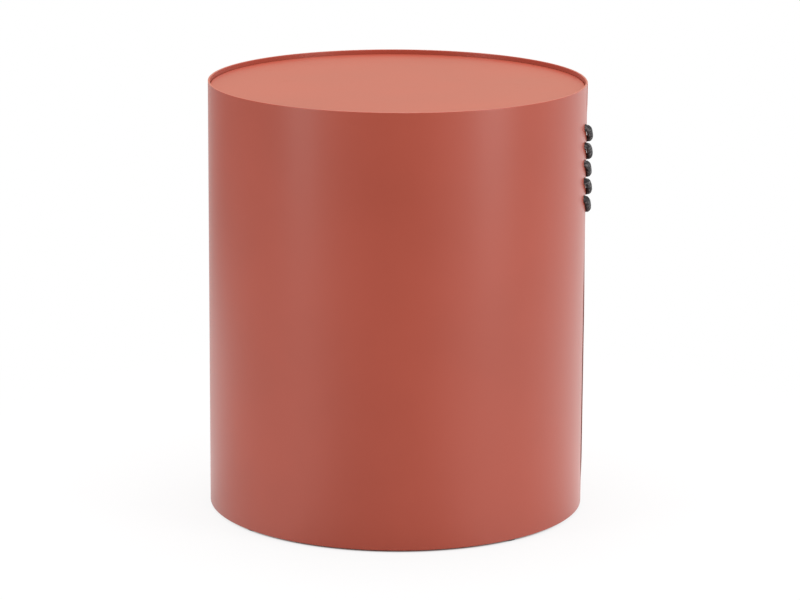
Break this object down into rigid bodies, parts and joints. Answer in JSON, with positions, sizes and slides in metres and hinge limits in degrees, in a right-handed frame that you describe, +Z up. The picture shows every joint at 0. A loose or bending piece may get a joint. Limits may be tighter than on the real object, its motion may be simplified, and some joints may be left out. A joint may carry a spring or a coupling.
{
  "type": "side table",
  "caption": "Round drum side table of rolled sheet steel, recessed top plate inside a thin rim, upright seam laced shut with a braided cord.",
  "frame": {"origin": "on the floor, at the axis of the drum", "axes": "+Z up along the drum's axis, +X towards the laced seam, -Y towards the side that the picture shows"},
  "size_m": [0.4071, 0.4, 0.46],
  "materials": {
    "coated_sheet": "satin terracotta powder coat",
    "coated_plate": "satin terracotta powder coat",
    "coated_ring": "satin terracotta powder coat",
    "zinc_steel": "bright zinc",
    "glide_plastic": "matte moulded",
    "braided_cord": "round braid, charcoal with lighter flecks"
  },
  "bodies": {
    "root": {"drum_wall": "coated_sheet", "top_plate": "coated_plate", "upper_ring": "coated_ring", "lower_ring": "coated_ring", "plate_studs": "zinc_steel", "plate_washers": "zinc_steel", "plate_nuts": "zinc_steel", "glide_back_right": "glide_plastic", "glide_back_left": "glide_plastic", "glide_front_left": "glide_plastic", "glide_front_right": "glide_plastic", "glide_screws": "zinc_steel", "weld_nuts": "zinc_steel", "lacing_cord": "braided_cord", "upper_knot": "braided_cord", "lower_knot": "braided_cord"}
  },
  "joints": []
}
